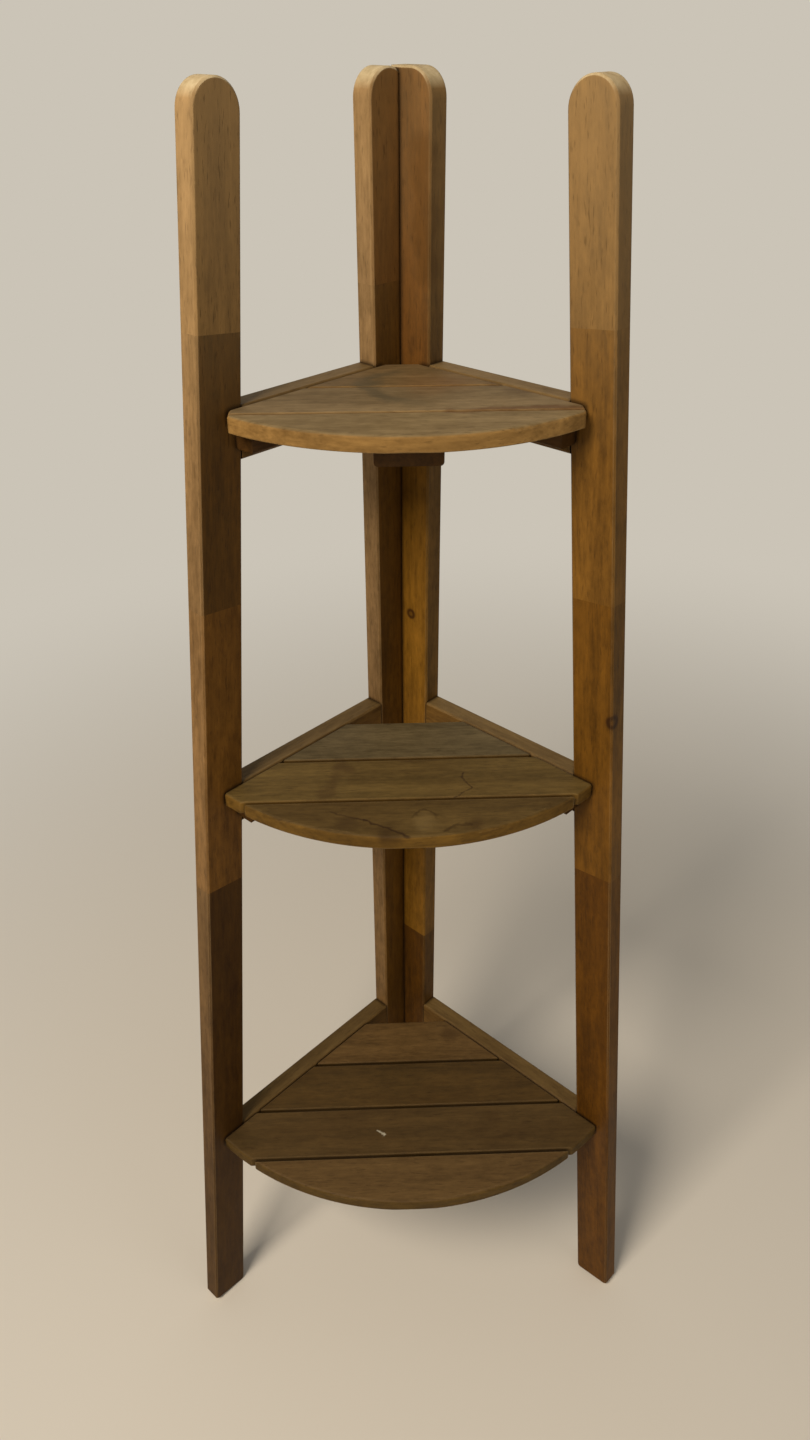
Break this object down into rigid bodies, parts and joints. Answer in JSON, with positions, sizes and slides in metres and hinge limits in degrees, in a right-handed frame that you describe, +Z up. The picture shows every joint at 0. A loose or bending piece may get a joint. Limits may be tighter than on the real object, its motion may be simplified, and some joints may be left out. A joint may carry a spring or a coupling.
{
  "type": "tiered plant stand",
  "caption": "Wooden corner plant stand: splayed front uprights, rails at a right angle and quarter-round slatted shelves that widen towards the floor.",
  "frame": {"origin": "on the floor, under the middle of the stand's own box", "axes": "+Z up; +Y towards the room's corner, behind the stand; +X to the right when looking at the shelves' round fronts; the two side frames run at 45 degrees to X and Y"},
  "size_m": [0.4582, 0.2862, 1.175],
  "materials": {
    "upright_wood": "oiled, worn",
    "rail_wood": "oiled, worn",
    "slat_wood": "weathered, water-marked",
    "bearer_wood": "weathered",
    "screw_steel": "zinc plated"
  },
  "bodies": {
    "root": {"bearer_screws": "screw_steel", "bottom_back_slat": "slat_wood", "bottom_centre_batten": "bearer_wood", "bottom_front_slat": "slat_wood", "bottom_left_bearer": "bearer_wood", "bottom_right_bearer": "bearer_wood", "bottom_second_slat": "slat_wood", "bottom_slat_screws": "screw_steel", "bottom_third_slat": "slat_wood", "corner_screws": "screw_steel", "left_back_upright": "upright_wood", "left_bottom_rail": "rail_wood", "left_front_upright": "upright_wood", "left_middle_rail": "rail_wood", "left_top_rail": "rail_wood", "middle_back_slat": "slat_wood", "middle_centre_batten": "bearer_wood", "middle_centre_slat": "slat_wood", "middle_front_slat": "slat_wood", "middle_left_bearer": "bearer_wood", "middle_right_bearer": "bearer_wood", "middle_slat_screws": "screw_steel", "right_back_upright": "upright_wood", "right_bottom_rail": "rail_wood", "right_front_upright": "upright_wood", "right_middle_rail": "rail_wood", "right_top_rail": "rail_wood", "top_back_slat": "slat_wood", "top_centre_batten": "bearer_wood", "top_front_slat": "slat_wood", "top_left_bearer": "bearer_wood", "top_middle_slat": "slat_wood", "top_right_bearer": "bearer_wood", "top_slat_screws": "screw_steel"}
  },
  "joints": []
}
